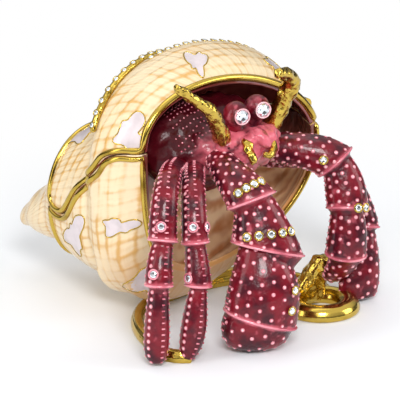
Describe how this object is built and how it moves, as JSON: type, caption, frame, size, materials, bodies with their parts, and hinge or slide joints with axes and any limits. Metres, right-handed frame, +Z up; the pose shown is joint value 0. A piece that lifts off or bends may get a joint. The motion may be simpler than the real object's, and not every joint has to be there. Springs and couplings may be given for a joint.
{
  "type": "hermit crab trinket box",
  "caption": "Small enamelled keepsake box shaped like a hermit crab in a spiral sea shell; the top of the shell is a hinged lid over a compartment.",
  "frame": {"origin": "on the ground under the middle of the whole box", "axes": "+X towards the crab's left, +Y from its claws to the tip of the shell, +Z up"},
  "size_m": [0.0734, 0.0822, 0.0615],
  "materials": {
    "cream_enamel": "glossy cream enamel with tan shading",
    "tan_enamel": "glossy brown enamel",
    "maroon_enamel": "glossy maroon enamel with pink dots",
    "gold": "polished gold plating",
    "steel": "drawn pin",
    "crystal": "cut and foiled clear stones"
  },
  "bodies": {
    "base": {"lower_shell": "cream_enamel", "base_rim": "gold", "front_wall": "tan_enamel", "hinge_base": "gold", "hinge_pin": "steel", "foot_bar": "gold", "claw_post": "gold", "crab_body": "maroon_enamel", "snout": "maroon_enamel", "eye_right": "maroon_enamel", "eye_left": "maroon_enamel", "antenna_right": "gold", "antenna_left": "gold", "mouthpart_right": "gold", "mouthpart_left": "gold", "big_claw": "maroon_enamel", "left_claw": "maroon_enamel", "right_front_leg": "maroon_enamel", "right_rear_leg": "maroon_enamel", "left_rear_leg": "maroon_enamel", "eye_stones": "crystal", "claw_stones": "crystal", "leg_stones": "crystal"},
    "lid": {"shell_lid": "cream_enamel", "lid_rim": "gold", "whorl_cord": "gold", "lid_stones": "crystal", "hinge_lid": "gold"}
  },
  "joints": [
    {"name": "lid_hinge", "type": "hinge", "parent": "base", "child": "lid", "pos_m": [0.03519, 0.00747, 0.03819], "axis": [0, 1, 0], "range_deg": [0, 70]}
  ]
}
